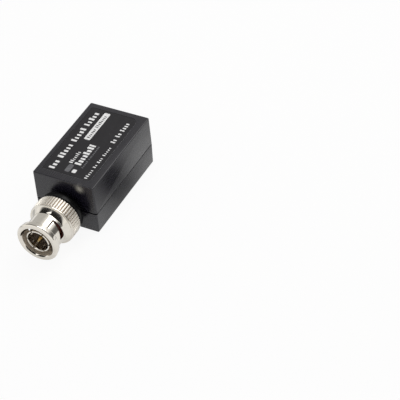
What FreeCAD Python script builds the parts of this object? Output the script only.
import FreeCAD, Part
import math
import os
from FreeCAD import Vector

# Active video balun: a two-piece moulded box, 35.3 mm long, with a bayonet video plug on its
# front wall and a four-pole push terminal block in its rear wall. Millimetres.
# While it is built, x = 0 is the middle of the box, y = 0 its front wall, z = 0 its base.
# The plug points along -Y. On saving, the part moves so that y = 0 is the middle of its length
# and z = 0 is the surface that its feet stand on.

# How far a cutting shape reaches past the surface that it cuts
over = 1.0

# Case
case_width = 20.6
case_length = 35.3
case_height = 17.4
wall = 1.6
floor_thickness = 1.5
corner_radius = 0.6
inner_corner_radius = 0.4
top_inset = 0.1
base_inset = 0.18
top_edge_radius = 0.3
base_edge_radius = 0.4
seam_gap = 0.25
front_seam_gap = 0.5
tongue_height = 1.0
tongue_clearance = 0.05

# Label, seen from above with the plug towards the viewer
label_left = -8.6
label_right = 7.7
label_front = 2.7
label_back = 33.1
label_small_radius = 0.7
label_large_radius = 2.6
label_thickness = 0.1
label_recess_depth = 0.12
label_clearance = 0.1

# Feet
foot_side = 2.4
foot_height = 0.3
foot_inset = 2.6

# Case screws
screw_side_distance = 4.1
screw_shift = 1.2
screw_core_radius = 0.8
screw_shank_radius = 0.95
screw_head_radius = 1.6
screw_head_height = 1.1
screw_length = 8.0
screw_recess_depth = 2.6
screw_hole_clearance = 0.15
screw_slot_width = 0.45
screw_slot_depth = 0.6
screw_slot_share = 0.6
post_radius = 2.0

# Plug, with radii about its own axis, which lies in the seam of the case
axis_height = 7.35
nut_front = 17.1
nut_rear = 3.9
nut_bore_radius = 4.95
mouth_radius = 5.2
grip_radius = 7.25
grip_front = 8.7
grip_chamfer = 0.5
ridge_count = 50
ridge_depth = 0.28
ridge_land_share = 0.45
waist_radius = 5.95
waist_blend = 1.9
flange_length = 2.2
flange_rear_radius = 6.4
flange_radius = 6.75
flange_round = 0.4
lip_thickness = 1.2
ring_pocket_depth = 0.8
ring_pocket_radius = 5.9

# Bayonet cam in the nut
stud_channel_width = 2.3
stud_channel_radius = 5.6
entry_angle = -22.0
lock_angle = 85.0
cam_rise = 2.9
cam_depth = 2.8
window_start = 3.0
window_end = 60.0
window_depth = 5.7
lock_pocket_radius = 1.15
witness_line_width = 0.2
witness_line_depth = 0.2

# Connector core
journal_radius = 4.3
journal_clearance = 0.06
body_flange_radius = 4.85
body_flange_thickness = 1.0
body_tail_radius = 4.0
body_tail_end = 3.5
ring_thickness = 0.6
ring_groove_depth = 0.6
ring_outer_radius = 5.5
ring_gap_angle = 40.0
ring_clearance = 0.1
washer_thickness = 0.3
washer_clearance = 0.1
wave_height = 0.8
wave_sheet = 0.2
wave_count = 3
wave_clearance = 0.15
sleeve_radius = 4.0
sleeve_tip_radius = 3.83
sleeve_bore_radius = 3.3
sleeve_setback = 0.65
sleeve_slot_count = 6
sleeve_slot_width = 0.45
sleeve_slot_length = 6.0
sleeve_slot_angle = 58.0
sleeve_tip_chamfer = 0.2
gasket_thickness = 1.3
gasket_clearance = 0.1
insulator_step = 1.0
pin_radius = 0.68
pin_setback = 0.8
pin_taper = 1.1
pin_tip_radius = 0.28
pin_tail = 4.2
leg_width = 1.1
leg_height = 0.9
leg_length = 4.6
leg_root = 0.35

# Collar between the nut and the case
collar_radius = 6.95
collar_front = 3.8
collar_rear = 2.0
collar_round = 0.35
collar_neck_radius = 4.6
collar_hole_clearance = 0.05
collar_wall_gap = 0.15
collar_inner_radius = 5.6
collar_inner_thickness = 1.3
collar_bore_clearance = 0.03

# Circuit board
board_side_gap = 0.5
board_thickness = 1.2
board_front = 3.7
board_back_gap = 0.5
board_notch_clearance = 0.2
rest_length = 2.0
rest_inset = 0.7
hold_rib_thickness = 1.0
hold_rib_gap = 0.05

# Terminal block
pole_count = 4
pole_pitch = 3.5
block_depth = 7.9
block_side_wall = 0.9
block_top_gap = 0.53
block_wall_gap = 0.2
nose_step = 0.2
nose_roof = 0.5
nose_top_gap = 0.8
nose_setback = 0.2
nose_clearance = 0.1
entry_radius = 1.2
entry_funnel = 0.3
entry_web = 0.5
chamber_floor = 2.03
chamber_width = 2.5
chamber_depth = 5.8
chamber_rear_wall = 3.1
button_width = 2.4
button_clearance = 0.05
button_setback = 0.2
button_heel = 1.3
button_heel_gap = 0.1
button_heel_drop = 0.6
button_heel_root = 0.5
button_slot_width = 0.6
button_slot_depth = 0.5
contact_width = 2.0
contact_thickness = 0.3
contact_front_gap = 0.3
contact_rear_gap = 0.1
contact_pin = 0.8
contact_pin_clearance = 0.05
contact_pin_below = 1.2
clamp_width = 2.0
clamp_thickness = 0.25
clamp_bend = 0.6
clamp_foot_gap = 0.02
clamp_front_gap = 0.1
clamp_heel_gap = 0.1
clamp_foot_length = 1.6
clamp_top_length = 1.7
clamp_tip_reach = 0.6
clamp_tip_height = 0.7

# Parts on the board: length, width, height where they are boxes
chip_body = (4.9, 3.9, 1.45)
chip_lead = (0.4, 1.1, 0.2)
chip_lead_root = 0.2
chip_lead_pitch = 1.27
regulator_body = (4.5, 2.5, 1.5)
regulator_tab = (1.6, 0.8, 0.4)
regulator_lead_pitch = 1.5
regulator_edge_gap = 0.85
diode_body = (4.3, 2.6, 2.1)
diode_tab = (0.4, 1.3, 0.4)
diode_edge_gap = 1.15
capacitor_radius = 2.5
capacitor_height = 7.0
capacitor_base = 0.8
capacitor_groove = 0.25
capacitor_groove_height = 1.2
capacitor_edge_gap = 1.1
core_radius = 2.6
core_hole_radius = 1.2
core_height = 2.6
core_edge_gap = 1.3
winding_turns = 8
winding_wire = 0.3
winding_clearance = 0.05
arrester_radius = 0.9
arrester_length = 3.0
arrester_cap = 0.6
arrester_cap_step = 0.1
resistor_size = (1.0, 0.5, 0.35)
resistor_pitch = 0.85
resistor_count = 6
ceramic_size = (1.25, 2.0, 0.9)
ceramic_pin_gap = 1.2
ceramic_edge_gap = 1.9

# Sizes that follow from the ones above
half_width = case_width / 2
ceiling = case_height - wall
rear_inside = case_length - wall
board_width = case_width - 2 * wall - 2 * board_side_gap
half_board = board_width / 2
board_top = axis_height - pin_radius
board_bottom = board_top - board_thickness
board_back = rear_inside - board_back_gap
block_width = pole_pitch * (pole_count - 1) + chamber_width + 2 * block_side_wall
block_top = ceiling - block_top_gap
block_back = rear_inside - block_wall_gap
block_front = block_back - block_depth
chamber_bottom = board_top + chamber_floor
nose_width = block_width - 2 * nose_step
nose_top = ceiling - nose_top_gap
nose_back = case_length - nose_setback
chamber_back = nose_back - chamber_rear_wall
chamber_front = chamber_back - chamber_depth
contact_top = chamber_bottom + contact_thickness
contact_place = (chamber_front + chamber_back) / 2
entry_height = contact_top + entry_radius
well_low = entry_height + entry_radius + entry_web
well_high = nose_top - nose_roof
button_low = well_low + button_clearance
button_high = well_high - button_clearance
leg_end = body_tail_end + leg_length
screw_offset = half_width - screw_side_distance
screw_place = (leg_end + block_front) / 2 + screw_shift
notch_radius = post_radius + board_notch_clearance
front_row = (leg_end + screw_place - notch_radius) / 2
back_row = (screw_place + notch_radius + block_front) / 2
ceramic_row = (board_front + leg_end) / 2
lip_rear = nut_rear + ring_pocket_depth
lip_front = lip_rear + lip_thickness
washer_front = lip_front + washer_thickness
body_flange_rear = washer_front + wave_height
body_flange_front = body_flange_rear + body_flange_thickness
flange_rear = nut_front - flange_length
cam_start = nut_front - cam_depth
window_rear = nut_front - window_depth
sleeve_front = nut_front - sleeve_setback
pin_front = nut_front - pin_setback
insulator_front = body_flange_front + insulator_step
part_middle = (case_length - nut_front) / 2

# Places on the board
chip_place = (0.0, screw_place)
core_place = (core_edge_gap + core_radius - half_board, front_row)
capacitor_place = (half_board - capacitor_edge_gap - capacitor_radius, front_row)
diode_place = (diode_edge_gap + diode_body[0] / 2 - half_board, back_row)
regulator_place = (half_board - regulator_edge_gap - regulator_body[0] / 2, back_row)
arrester_place = ((diode_edge_gap - regulator_edge_gap) / 2, back_row)
resistor_column = (core_place[0] + core_radius + capacitor_place[0] - capacitor_radius) / 2
ceramic_places = (
    (-pin_radius - ceramic_pin_gap, ceramic_row),
    (pin_radius + ceramic_pin_gap, ceramic_row),
    (ceramic_edge_gap - half_board, ceramic_row),
    (half_board - ceramic_edge_gap, ceramic_row),
)


def box(x0, x1, y0, y1, z0, z1):
    """A block between two corners."""
    return Part.makeBox(x1 - x0, y1 - y0, z1 - z0, Vector(x0, y0, z0))


def place_box(size, place, bottom):
    """A block of (length x, width y, height z) with the middle of its base at a place."""
    length, width, height = size
    x, y = place
    return Part.makeBox(length, width, height, Vector(x - length / 2, y - width / 2, bottom))


def joined(shapes):
    """All the shapes as one solid."""
    return shapes[0].multiFuse(shapes[1:]).removeSplitter()


def turned(start, *steps):
    """A solid turned about the plug's axis from an outline of (radius, y) points.

    A step is the next point, or a pair of points: one on an arc and the arc's end."""
    edges = []
    here = Vector(start[0], start[1], 0)
    first = here
    for step in steps:
        if isinstance(step[0], tuple):
            middle = Vector(step[0][0], step[0][1], 0)
            there = Vector(step[1][0], step[1][1], 0)
            edges.append(Part.Arc(here, middle, there).toShape())
        else:
            there = Vector(step[0], step[1], 0)
            edges.append(Part.LineSegment(here, there).toShape())
        here = there
    if here.distanceToPoint(first) > 1e-6:
        edges.append(Part.LineSegment(here, first).toShape())
    face = Part.Face(Part.Wire(edges))
    solid = face.revolve(Vector(0, 0, 0), Vector(0, 1, 0), 360)
    solid.translate(Vector(0, 0, axis_height))
    return solid


def tube(outer, inner, y0, y1):
    """A plain ring about the plug's axis."""
    return turned((inner, y0), (outer, y0), (outer, y1), (inner, y1))


def about_axis(shape, angle):
    """The shape turned about the plug's axis, anticlockwise as seen from the plug's front."""
    turned_shape = shape.copy()
    turned_shape.rotate(Vector(0, 0, axis_height), Vector(0, -1, 0), angle)
    return turned_shape


def at_angle(radius, angle, y):
    """The point at a radius and an angle about the plug's axis."""
    turn = math.radians(angle)
    return Vector(radius * math.cos(turn), y, axis_height + radius * math.sin(turn))


def case_outline(inset, radius, z):
    """The case's outline at height z, moved inwards by an inset, with round corners."""
    right = half_width - inset
    back = case_length - inset
    centres = (
        (right - radius, back - radius, 0),
        (radius - right, back - radius, 90),
        (radius - right, inset + radius, 180),
        (right - radius, inset + radius, 270),
    )
    edges = []
    points = []
    for x, y, turn in centres:
        corner = []
        for step in (0, 45, 90):
            angle = math.radians(turn + step)
            corner.append(Vector(x + radius * math.cos(angle), y + radius * math.sin(angle), z))
        points.append(corner)
    for index, corner in enumerate(points):
        edges.append(Part.Arc(*corner).toShape())
        following = points[(index + 1) % len(points)]
        edges.append(Part.LineSegment(corner[2], following[0]).toShape())
    return Part.Wire(edges)


def case_block(inset_low, inset_high, z_low, z_high, radius):
    """A block with the case's outline and drafted sides."""
    low = case_outline(inset_low, radius, z_low)
    high = case_outline(inset_high, radius, z_high)
    return Part.makeLoft([low, high], True, True)


def round_level_edges(solid, z, radius):
    """Rounds the edges that lie all at one height."""
    edges = []
    for edge in solid.Edges:
        if all(abs(vertex.Z - z) < 1e-4 for vertex in edge.Vertexes):
            edges.append(edge)
    return solid.makeFillet(radius, edges)


def collar_hole():
    """The round hole in the front wall, half in each shell, that grips the collar's neck."""
    radius = collar_neck_radius + collar_hole_clearance
    hole = Part.makeCylinder(radius, 2 * wall, Vector(0, -wall / 2, axis_height), Vector(0, 1, 0))
    return hole


def screw_places():
    return ((-screw_offset, screw_place), (screw_offset, screw_place))


def label_outline(grow, z):
    """The label's outline, with three small corners and a large one at the back right."""
    left = label_left - grow
    right = label_right + grow
    front = label_front - grow
    back = label_back + grow
    small = label_small_radius + grow
    large = label_large_radius + grow
    corners = (
        (right - large, back - large, large, 0),
        (left + small, back - small, small, 90),
        (left + small, front + small, small, 180),
        (right - small, front + small, small, 270),
    )
    edges = []
    arcs = []
    for x, y, radius, turn in corners:
        points = []
        for step in (0, 45, 90):
            angle = math.radians(turn + step)
            points.append(Vector(x + radius * math.cos(angle), y + radius * math.sin(angle), z))
        arcs.append(points)
    for index, points in enumerate(arcs):
        edges.append(Part.Arc(*points).toShape())
        edges.append(Part.LineSegment(points[2], arcs[(index + 1) % 4][0]).toShape())
    return Part.Wire(edges)


def label_plate(grow, z, thickness):
    return Part.Face(label_outline(grow, z)).extrude(Vector(0, 0, thickness))


def upper_case():
    """The upper shell, with the label recess, two screw posts and ribs that hold the board down."""
    seam = axis_height + seam_gap / 2
    outside = case_block(0, top_inset, seam, case_height, corner_radius)
    outside = round_level_edges(outside, case_height, top_edge_radius)
    inside = case_block(wall, wall + top_inset, seam - wall, ceiling, inner_corner_radius)
    shell = outside.cut(inside)
    added = []
    for x, y in screw_places():
        added.append(Part.makeCylinder(post_radius, ceiling + wall / 2 - seam, Vector(x, y, seam)))
    for row in (front_row, back_row):
        for side in (-1, 1):
            inner = side * (half_board - rest_inset)
            outer = side * (half_width - wall / 2)
            added.append(box(min(inner, outer), max(inner, outer),
                             row - hold_rib_thickness / 2, row + hold_rib_thickness / 2,
                             board_top + hold_rib_gap, ceiling + wall / 2))
    shell = joined([shell] + added)
    rebate = case_block(wall / 2 - tongue_clearance, wall / 2 - tongue_clearance, seam - wall,
                        axis_height + tongue_height + tongue_clearance, inner_corner_radius)
    core = case_block(wall, wall, seam - 2 * wall, case_height, inner_corner_radius)
    front_step = box(-case_width, case_width, -over, wall / 2,
                     seam - over, axis_height + front_seam_gap / 2)
    window = box(-nose_width / 2 - nose_clearance, nose_width / 2 + nose_clearance,
                 rear_inside - wall / 2, case_length + over,
                 chamber_bottom - nose_clearance, nose_top + nose_clearance)
    recess = label_plate(label_clearance, case_height - label_recess_depth, over)
    shell = shell.cut([rebate.cut(core), front_step, window, recess, collar_hole()])
    pilot_depth = screw_recess_depth + screw_length + over - seam
    for x, y in screw_places():
        shell = shell.cut(Part.makeCylinder(screw_core_radius, pilot_depth, Vector(x, y, seam)))
    return shell


def lower_case():
    """The lower shell, with its tongue, two screw bosses and four rests for the board."""
    seam = axis_height - seam_gap / 2
    outside = case_block(base_inset, 0, 0, seam, corner_radius)
    outside = round_level_edges(outside, 0, base_edge_radius)
    inside = case_block(wall, wall, floor_thickness, seam + wall, inner_corner_radius)
    tongue = case_block(wall / 2, wall / 2, seam - wall, axis_height + tongue_height, inner_corner_radius)
    core = case_block(wall, wall, 0, case_height, inner_corner_radius)
    shell = outside.cut(inside).fuse(tongue.cut(core))
    added = []
    for x, y in screw_places():
        added.append(Part.makeCylinder(post_radius, seam, Vector(x, y, 0)))
    for y in (board_front + rest_inset, board_back - rest_inset - rest_length):
        for side in (-1, 1):
            inner = side * (half_board - rest_inset)
            outer = side * (half_width - wall / 2)
            added.append(box(min(inner, outer), max(inner, outer), y, y + rest_length,
                             floor_thickness / 2, board_bottom))
    shell = joined([shell] + added)
    front_step = box(-case_width, case_width, -over, wall / 2,
                     axis_height - front_seam_gap / 2, seam + over)
    cuts = [front_step, collar_hole()]
    shank_hole = screw_shank_radius + screw_hole_clearance
    head_hole = screw_head_radius + screw_hole_clearance
    for x, y in screw_places():
        cuts.append(Part.makeCylinder(shank_hole, case_height, Vector(x, y, 0)))
        cuts.append(Part.makeCylinder(head_hole, screw_recess_depth, Vector(x, y, 0)))
    return shell.cut(cuts)


def label_sticker():
    return label_plate(0, case_height - label_recess_depth, label_thickness)


def case_screws():
    """Two self-tapping screws, driven from below, with crossed slots."""
    screws = []
    head_top = screw_recess_depth
    head_bottom = head_top - screw_head_height
    for x, y in screw_places():
        head = Part.makeCylinder(screw_head_radius, screw_head_height, Vector(x, y, head_bottom))
        shank = Part.makeCylinder(screw_shank_radius, screw_length, Vector(x, y, head_top))
        half_slot = screw_head_radius * screw_slot_share
        cuts = []
        for slot_x, slot_y in ((half_slot, screw_slot_width / 2), (screw_slot_width / 2, half_slot)):
            cuts.append(box(x - slot_x, x + slot_x, y - slot_y, y + slot_y,
                            head_bottom - over, head_bottom + screw_slot_depth))
        screws.append(head.fuse(shank).removeSplitter().cut(cuts))
    return Part.makeCompound(screws)


def case_feet():
    """Four thin rubber pads under the base, which keep the nut clear of the table."""
    pads = []
    for x in (foot_inset - half_width, half_width - foot_inset):
        for y in (foot_inset, case_length - foot_inset):
            pads.append(place_box((foot_side, foot_side, foot_height), (x, y), -foot_height))
    return Part.makeCompound(pads)


def front_collar():
    """The black spool between the nut and the case, whose neck the two shells grip."""
    bore = body_tail_radius + collar_bore_clearance
    inner_front = wall + collar_wall_gap
    round_inset = collar_round * (1 - math.sqrt(0.5))
    round_middle = collar_radius - round_inset
    return turned(
        (bore, -collar_front),
        (collar_radius - collar_round, -collar_front),
        ((round_middle, -collar_front + round_inset), (collar_radius, -collar_front + collar_round)),
        (collar_radius, -collar_rear - collar_round),
        ((round_middle, -collar_rear - round_inset), (collar_radius - collar_round, -collar_rear)),
        (collar_neck_radius, -collar_rear),
        (collar_neck_radius, inner_front),
        (collar_inner_radius, inner_front),
        (collar_inner_radius, inner_front + collar_inner_thickness),
        (bore, inner_front + collar_inner_thickness),
    )


def grip_blank():
    """The knurled grip before its grooves meet the chamfers: a ring with straight V grooves."""
    step = 360 / ridge_count
    half_land = step * ridge_land_share / 2
    points = []
    for index in range(ridge_count):
        middle = index * step
        points.append(at_angle(grip_radius, middle - half_land, -grip_front))
        points.append(at_angle(grip_radius, middle + half_land, -grip_front))
        points.append(at_angle(grip_radius - ridge_depth, middle + step / 2, -grip_front))
    points.append(points[0])
    face = Part.Face(Part.makePolygon(points))
    prism = face.extrude(Vector(0, grip_front - nut_rear, 0))
    chamfered = turned(
        (0, -grip_front),
        (grip_radius - grip_chamfer, -grip_front),
        (grip_radius + ridge_depth, -grip_front + grip_chamfer + ridge_depth),
        (grip_radius + ridge_depth, -nut_rear - grip_chamfer - ridge_depth),
        (grip_radius - grip_chamfer, -nut_rear),
        (0, -nut_rear),
    )
    return prism.common(chamfered)


def nut_front_blank():
    """The waist, blended into the grip, and the flared front flange with its rounded face."""
    blend_top = grip_radius - grip_chamfer
    reach = blend_top - waist_radius
    run = math.sqrt(waist_blend ** 2 - (waist_blend - reach) ** 2)
    middle_angle = math.asin(run / waist_blend) / 2
    blend_middle = (waist_radius + waist_blend * (1 - math.cos(middle_angle)),
                    -grip_front - run + waist_blend * math.sin(middle_angle))
    round_inset = flange_round * (1 - math.sqrt(0.5))
    round_middle = (flange_radius - round_inset, -nut_front + round_inset)
    return turned(
        (0, -nut_front),
        (flange_radius - flange_round, -nut_front),
        (round_middle, (flange_radius, -nut_front + flange_round)),
        (flange_rear_radius, -flange_rear),
        (waist_radius, -flange_rear),
        (waist_radius, -grip_front - run),
        (blend_middle, (blend_top, -grip_front)),
        (blend_top, -grip_front + grip_chamfer),
        (0, -grip_front + grip_chamfer),
    )


def cam_section(angle, inner, outer, front, rear):
    """A rectangle in the plane through the axis at an angle, from one radius to another."""
    corners = [
        at_angle(inner, angle, -front),
        at_angle(outer, angle, -front),
        at_angle(outer, angle, -rear),
        at_angle(inner, angle, -rear),
    ]
    return Part.makePolygon(corners + corners[:1])


def cam_front(angle):
    """How far in front of the case the cam's leading edge lies at an angle."""
    share = (angle - entry_angle) / (lock_angle - entry_angle)
    return cam_start - cam_rise * share


def cam_channel():
    """The ramp inside the nut that a stud of the mating socket climbs, from entry to lock."""
    sections = []
    steps = 8
    for index in range(steps + 1):
        angle = entry_angle + (lock_angle - entry_angle) * index / steps
        front = cam_front(angle)
        rear = front - stud_channel_width
        sections.append(cam_section(angle, nut_bore_radius - over, stud_channel_radius, front, rear))
    return Part.makeLoft(sections, True, False)


def cam_window():
    """The opening through the waist over part of the ramp, widest at its entry end."""
    sections = []
    steps = 5
    for index in range(steps + 1):
        angle = window_start + (window_end - window_start) * index / steps
        sections.append(cam_section(angle, nut_bore_radius - over, flange_radius,
                                    cam_front(angle), window_rear))
    return Part.makeLoft(sections, True, False)


def stud_cuts():
    """Everything that one stud needs: entry groove, ramp, window, locking pocket and witness line."""
    half = stud_channel_width / 2
    groove = box(nut_bore_radius - over, stud_channel_radius,
                 -nut_front - over, -cam_start + stud_channel_width,
                 axis_height - half, axis_height + half)
    groove = about_axis(groove, entry_angle)
    lock_y = -cam_front(lock_angle) + half
    lock = Part.makeCylinder(lock_pocket_radius, stud_channel_radius - nut_bore_radius + over,
                             at_angle(nut_bore_radius - over, lock_angle, lock_y),
                             at_angle(1, lock_angle, 0) - at_angle(0, lock_angle, 0))
    half_line = witness_line_width / 2
    line = box(waist_radius - witness_line_depth, flange_radius, -flange_rear, -window_rear,
               axis_height - half_line, axis_height + half_line)
    line = about_axis(line, window_end)
    return [groove, cam_channel(), cam_window(), lock, line]


def coupling_nut():
    """The bayonet nut: knurled grip, waist and flange outside; mouth, bore, lip and ring pocket inside."""
    blank = joined([grip_blank(), nut_front_blank()])
    mouth_chamfer = mouth_radius - nut_bore_radius
    bore = turned(
        (0, -nut_front - over),
        (mouth_radius, -nut_front - over),
        (mouth_radius, -nut_front),
        (nut_bore_radius, -nut_front + mouth_chamfer),
        (nut_bore_radius, -lip_front),
        (journal_radius + journal_clearance, -lip_front),
        (journal_radius + journal_clearance, -lip_rear),
        (ring_pocket_radius, -lip_rear),
        (ring_pocket_radius, 0),
        (0, 0),
    )
    cuts = [bore]
    for cut in stud_cuts():
        cuts.append(cut)
        cuts.append(about_axis(cut, 180))
    return blank.cut(cuts)


def connector_body():
    """The plug's metal body: gasket flange, nut journal, ring groove, tail and four board legs."""
    ring_front = lip_rear - ring_clearance / 2
    ring_back = ring_front - ring_thickness
    groove_radius = journal_radius - ring_groove_depth
    bore = sleeve_bore_radius
    core = turned(
        (bore, -body_flange_front),
        (body_flange_radius, -body_flange_front),
        (body_flange_radius, -body_flange_rear),
        (journal_radius, -body_flange_rear),
        (journal_radius, -ring_front),
        (groove_radius, -ring_front),
        (groove_radius, -ring_back),
        (journal_radius, -ring_back),
        (journal_radius, -collar_front),
        (body_tail_radius, -collar_front),
        (body_tail_radius, body_tail_end),
        (bore, body_tail_end),
    )
    legs = []
    leg_circle = (sleeve_bore_radius + body_tail_radius) / 2
    for bottom in (board_top, board_bottom - leg_height):
        drop = axis_height - bottom - leg_height / 2
        reach = math.sqrt(leg_circle ** 2 - drop ** 2)
        for x in (-reach, reach):
            legs.append(box(x - leg_width / 2, x + leg_width / 2,
                            body_tail_end - leg_root, leg_end,
                            bottom, bottom + leg_height))
    hole_start = Vector(0, body_tail_end - nut_front, axis_height)
    hole = Part.makeCylinder(bore, nut_front, hole_start, Vector(0, 1, 0))
    return joined([core] + legs).cut(hole)


def contact_sleeve():
    """The slotted spring sleeve that grips the inside of the mating socket."""
    sleeve = turned(
        (sleeve_bore_radius, -body_flange_front),
        (sleeve_radius, -body_flange_front),
        (sleeve_radius, -sleeve_front + sleeve_slot_length),
        (sleeve_tip_radius, -sleeve_front + sleeve_tip_chamfer),
        (sleeve_tip_radius - sleeve_tip_chamfer, -sleeve_front),
        (sleeve_bore_radius, -sleeve_front),
    )
    slot = box(0, sleeve_radius + over, -sleeve_front - over, -sleeve_front + sleeve_slot_length,
               axis_height - sleeve_slot_width / 2, axis_height + sleeve_slot_width / 2)
    slots = []
    for index in range(sleeve_slot_count):
        slots.append(about_axis(slot, sleeve_slot_angle + index * 360 / sleeve_slot_count))
    return sleeve.cut(slots)


def gasket():
    """The red ring on the body's flange that the mating socket presses on."""
    front = body_flange_front + gasket_thickness
    crown = gasket_thickness / 4
    outer = nut_bore_radius - gasket_clearance
    inner = sleeve_radius + gasket_clearance / 2
    return turned(
        (inner, -body_flange_front),
        (outer, -body_flange_front),
        (outer, -front + crown),
        (outer - crown, -front),
        (inner + crown, -front),
        (inner, -front + crown),
    )


def insulator():
    return turned(
        (pin_radius, -insulator_front),
        (sleeve_bore_radius, -insulator_front),
        (sleeve_bore_radius, body_tail_end),
        (pin_radius, body_tail_end),
    )


def centre_pin():
    """The gold pin, with its tapered tip, and its tail on the board."""
    return turned(
        (0, -pin_front),
        (pin_tip_radius, -pin_front),
        (pin_radius, -pin_front + pin_taper),
        (pin_radius, body_tail_end + pin_tail),
        (0, body_tail_end + pin_tail),
    )


def retaining_ring():
    """The open spring ring in the body's groove that stops the nut from sliding back."""
    front = lip_rear - ring_clearance / 2
    ring = tube(ring_outer_radius, journal_radius - ring_groove_depth, -front, -front + ring_thickness)
    half = math.radians(ring_gap_angle / 2)
    reach = ring_outer_radius + over
    gap = Part.makePolygon([
        Vector(0, 0, axis_height),
        Vector(reach * math.sin(half), 0, axis_height - reach * math.cos(half)),
        Vector(-reach * math.sin(half), 0, axis_height - reach * math.cos(half)),
        Vector(0, 0, axis_height),
    ])
    wedge = Part.Face(gap).extrude(Vector(0, -nut_front, 0))
    return ring.cut(wedge)


def thrust_washer():
    """The flat washer between the nut's lip and the wave washer."""
    outer = nut_bore_radius - washer_clearance
    return tube(outer, journal_radius + journal_clearance, -washer_front, -lip_front)


def wave_washer():
    """The wavy spring washer between the body's flange and the thrust washer."""
    swing = (wave_height - wave_sheet) / 2
    middle = (body_flange_rear + washer_front) / 2
    sections = []
    count = wave_count * 8
    for index in range(count):
        angle = 360 * index / count
        offset = middle + swing * math.cos(math.radians(wave_count * angle))
        sections.append(cam_section(angle, journal_radius + wave_clearance, nut_bore_radius - wave_clearance,
                                    offset + wave_sheet / 2, offset - wave_sheet / 2))
    return Part.makeLoft(sections, True, True, True)


def pole_places():
    first = -pole_pitch * (pole_count - 1) / 2
    return [first + index * pole_pitch for index in range(pole_count)]


def circuit_board():
    """The board, notched round the screw posts and drilled for the terminal block's pins."""
    board = box(-half_board, half_board, board_front, board_back, board_bottom, board_top)
    cuts = []
    for x, y in screw_places():
        cuts.append(Part.makeCylinder(notch_radius, case_height, Vector(x, y, 0)))
        cuts.append(box(min(x, 2 * x), max(x, 2 * x), y - notch_radius, y + notch_radius, 0, case_height))
    for x in pole_places():
        radius = contact_pin / math.sqrt(2) + contact_pin_clearance
        cuts.append(Part.makeCylinder(radius, case_height, Vector(x, contact_place, 0)))
    return board.cut(cuts)


def terminal_block():
    """The housing: four round wire entries below four button wells, with a chamber behind each pair."""
    body = box(-block_width / 2, block_width / 2, block_front, block_back, board_top, block_top)
    nose = box(-nose_width / 2, nose_width / 2, block_back - over, nose_back, chamber_bottom, nose_top)
    housing = joined([body, nose])
    well_half = button_width / 2 + button_clearance
    pin_half = contact_pin / 2 + contact_pin_clearance
    cuts = []
    for x in pole_places():
        cuts.append(box(x - well_half, x + well_half, chamber_front, nose_back + over, well_low, well_high))
        cuts.append(box(x - chamber_width / 2, x + chamber_width / 2, chamber_front, chamber_back,
                        chamber_bottom, well_high))
        cuts.append(Part.makeCylinder(entry_radius, chamber_rear_wall + over,
                                      Vector(x, chamber_back - over, entry_height), Vector(0, 1, 0)))
        cuts.append(Part.makeCone(entry_radius, entry_radius + 2 * entry_funnel, 2 * entry_funnel,
                                  Vector(x, nose_back - entry_funnel, entry_height), Vector(0, 1, 0)))
        cuts.append(box(x - pin_half, x + pin_half, contact_place - pin_half, contact_place + pin_half,
                        board_top - over, chamber_bottom + over))
    return housing.cut(cuts)


def push_button(x):
    """A button with a screwdriver slot in its face and a heel that stops it in the housing."""
    front = nose_back - button_setback
    half = button_width / 2
    middle = (button_low + button_high) / 2
    heel_back = chamber_back - button_heel_gap
    heel_front = heel_back - button_heel
    stem = box(x - half, x + half, heel_front, front, button_low, button_high)
    heel = box(x - half, x + half, heel_front, heel_back,
               button_low - button_heel_drop, button_low + button_heel_root)
    slot = box(x - half - over, x + half + over, front - button_slot_depth, front + over,
               middle - button_slot_width / 2, middle + button_slot_width / 2)
    return joined([stem, heel]).cut(slot)


def terminal_contacts():
    """The bar under each wire, with its pin through the board."""
    half_pin = contact_pin / 2
    contacts = []
    for x in pole_places():
        bar = box(x - contact_width / 2, x + contact_width / 2,
                  chamber_front + contact_front_gap, chamber_back - contact_rear_gap,
                  chamber_bottom, contact_top)
        pin = box(x - half_pin, x + half_pin, contact_place - half_pin, contact_place + half_pin,
                  board_bottom - contact_pin_below, chamber_bottom + contact_thickness / 2)
        contacts.append(bar.fuse(pin).removeSplitter())
    return Part.makeCompound(contacts)


def bent_strip(points, bend, width, thickness, x):
    """A strip bent along points in the YZ plane, with a round bend at each inner point."""
    places = [Vector(x, y, z) for y, z in points]
    edges = []
    here = places[0]
    for before, corner, after in zip(places, places[1:], places[2:]):
        into = (before - corner).normalize()
        out = (after - corner).normalize()
        half_turn = into.getAngle(out) / 2
        back_off = bend / math.tan(half_turn)
        start = corner + into * back_off
        end = corner + out * back_off
        towards = (into + out).normalize()
        middle = corner + towards * (bend / math.sin(half_turn) - bend)
        edges.append(Part.LineSegment(here, start).toShape())
        edges.append(Part.Arc(start, middle, end).toShape())
        here = end
    edges.append(Part.LineSegment(here, places[-1]).toShape())
    spine = Part.Wire(edges)
    along = (places[1] - places[0]).normalize()
    across = Vector(1, 0, 0)
    up = along.cross(across)
    corners = []
    for side, rise in ((-1, -1), (1, -1), (1, 1), (-1, 1)):
        corners.append(places[0] + across * (side * width / 2) + up * (rise * thickness / 2))
    profile = Part.makePolygon(corners + corners[:1])
    return spine.makePipeShell([profile], True, False)


def clamp_spring(x):
    """The bent leaf that presses the wire on its contact until the button pushes it aside."""
    top = button_high - clamp_thickness
    foot = contact_top + clamp_foot_gap + clamp_thickness / 2
    front = chamber_front + clamp_front_gap + clamp_thickness / 2
    heel_front = chamber_back - button_heel_gap - button_heel
    leg = heel_front - clamp_heel_gap - clamp_thickness / 2
    points = [
        (front + clamp_foot_length, foot),
        (front, foot),
        (front, top),
        (front + clamp_top_length, top),
        (leg, button_low - button_heel_drop),
        (leg + clamp_tip_reach, contact_top + clamp_tip_height),
    ]
    return bent_strip(points, clamp_bend, clamp_width, clamp_thickness, x)


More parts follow.
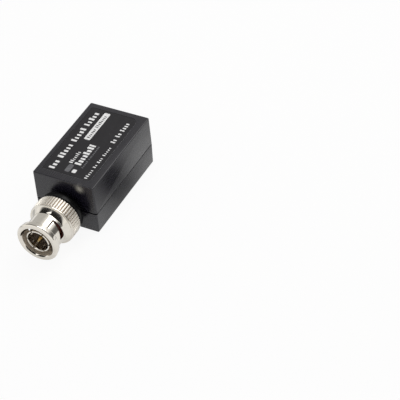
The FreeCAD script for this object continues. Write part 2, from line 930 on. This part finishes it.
def driver_chip():
    """The line driver, with four leads on each long side."""
    x, y = chip_place
    length, width, height = chip_body
    lead_width, lead_reach, lead_thickness = chip_lead
    body = place_box((length, width, height - lead_thickness), chip_place, board_top + lead_thickness)
    pieces = [body]
    for index in range(4):
        lead_x = x + (index - 1.5) * chip_lead_pitch
        for side in (-1, 1):
            middle = (lead_x, y + side * (width / 2 + lead_reach / 2 - chip_lead_root))
            pieces.append(place_box((lead_width, lead_reach, 2 * lead_thickness), middle, board_top))
    return joined(pieces)


def voltage_regulator():
    """The regulator, with three leads on one side and a tab on the other."""
    x, y = regulator_place
    length, width, height = regulator_body
    tab_length, tab_reach, tab_height = regulator_tab
    pieces = [place_box(regulator_body, regulator_place, board_top)]
    tab_place = (x, y + width / 2 + tab_reach / 4)
    pieces.append(place_box((tab_length, tab_reach, tab_height), tab_place, board_top))
    for offset in (-regulator_lead_pitch, 0, regulator_lead_pitch):
        lead_place = (x + offset, y - width / 2 - tab_reach / 4)
        pieces.append(place_box((tab_height, tab_reach, tab_height), lead_place, board_top))
    return joined(pieces)


def power_diode():
    """The diode that guards the supply, with a tab at each end."""
    length, width, height = diode_body
    tab_reach, tab_width, tab_height = diode_tab
    body = place_box(diode_body, diode_place, board_top)
    tabs = place_box((length + 2 * tab_reach, tab_width, tab_height), diode_place, board_top)
    return joined([body, tabs])


def electrolytic_capacitor():
    """The capacitor's can, with its rolled groove, on a square base."""
    x, y = capacitor_place
    side = 2 * capacitor_radius
    can_bottom = board_top + capacitor_base
    base = place_box((side, side, capacitor_base), capacitor_place, board_top)
    can = Part.makeCylinder(capacitor_radius, capacitor_height - capacitor_base, Vector(x, y, can_bottom))
    groove = Part.makeTorus(capacitor_radius, capacitor_groove,
                            Vector(x, y, can_bottom + capacitor_groove_height))
    return joined([base, can.cut(groove)])


def choke_core():
    """The choke's ring core, flat on the board's thin pad of winding wire."""
    x, y = core_place
    bottom = board_top + winding_wire
    ring = Part.makeCylinder(core_radius, core_height, Vector(x, y, bottom))
    return ring.cut(Part.makeCylinder(core_hole_radius, core_height, Vector(x, y, bottom)))


def choke_winding():
    """Turns of wire round the core, each a small square loop, joined by a ring under the core."""
    x, y = core_place
    bottom = board_top
    height = core_height + 2 * winding_wire
    reach = winding_wire + winding_clearance
    loop = box(core_hole_radius - reach, core_radius + reach, -winding_wire / 2, winding_wire / 2, 0, height)
    loop = loop.cut(box(core_hole_radius - winding_clearance, core_radius + winding_clearance, -over, over,
                        winding_wire, height - winding_wire))
    ring = Part.makeCylinder(core_radius, winding_wire)
    ring = ring.cut(Part.makeCylinder(core_hole_radius, winding_wire))
    pieces = [ring]
    for index in range(winding_turns):
        turn = loop.copy()
        turn.rotate(Vector(0, 0, 0), Vector(0, 0, 1), index * 360 / winding_turns)
        pieces.append(turn)
    winding = joined(pieces)
    winding.translate(Vector(x, y, bottom))
    return winding


def surge_arrester():
    """The arrester, a small ceramic barrel lying on the board between two end caps."""
    x, y = arrester_place
    z = board_top + arrester_radius
    start = y - arrester_length / 2
    along = Vector(0, 1, 0)
    barrel_radius = arrester_radius - arrester_cap_step
    pieces = [Part.makeCylinder(barrel_radius, arrester_length, Vector(x, start, z), along)]
    for offset in (0, arrester_length - arrester_cap):
        pieces.append(Part.makeCylinder(arrester_radius, arrester_cap, Vector(x, start + offset, z), along))
    return joined(pieces)


def chips(size, places):
    """A group of chip parts of one size, flat on the board."""
    return Part.makeCompound([place_box(size, place, board_top) for place in places])


def resistor_places():
    """A column of places between the choke and the capacitor."""
    first = front_row - resistor_pitch * (resistor_count - 1) / 2
    return [(resistor_column, first + index * resistor_pitch) for index in range(resistor_count)]


def all_parts():
    """Every node of the balun by name."""
    parts = {
        "upper_case": upper_case(),
        "lower_case": lower_case(),
        "label_sticker": label_sticker(),
        "case_screws": case_screws(),
        "case_feet": case_feet(),
        "front_collar": front_collar(),
        "coupling_nut": coupling_nut(),
        "connector_body": connector_body(),
        "contact_sleeve": contact_sleeve(),
        "gasket": gasket(),
        "insulator": insulator(),
        "centre_pin": centre_pin(),
        "retaining_ring": retaining_ring(),
        "thrust_washer": thrust_washer(),
        "wave_washer": wave_washer(),
        "circuit_board": circuit_board(),
        "terminal_block": terminal_block(),
        "terminal_contacts": terminal_contacts(),
        "driver_chip": driver_chip(),
        "voltage_regulator": voltage_regulator(),
        "power_diode": power_diode(),
        "electrolytic_capacitor": electrolytic_capacitor(),
        "choke_core": choke_core(),
        "choke_winding": choke_winding(),
        "surge_arrester": surge_arrester(),
        "chip_resistors": chips(resistor_size, resistor_places()),
        "chip_capacitors": chips(ceramic_size, ceramic_places),
    }
    for number, x in enumerate(pole_places(), start=1):
        parts["push_button_%d" % number] = push_button(x)
        parts["clamp_spring_%d" % number] = clamp_spring(x)
    return parts


def save(parts):
    """Writes each node, with the part's middle moved to y = 0 and its feet to z = 0."""
    os.makedirs("parts", exist_ok=True)
    for name, shape in parts.items():
        shape.translate(Vector(0, -part_middle, foot_height))
        shape.exportStep("parts/%s.step" % name)
        print(name, "solids", len(shape.Solids), "volume %.2f" % shape.Volume, "valid", shape.isValid())


save(all_parts())
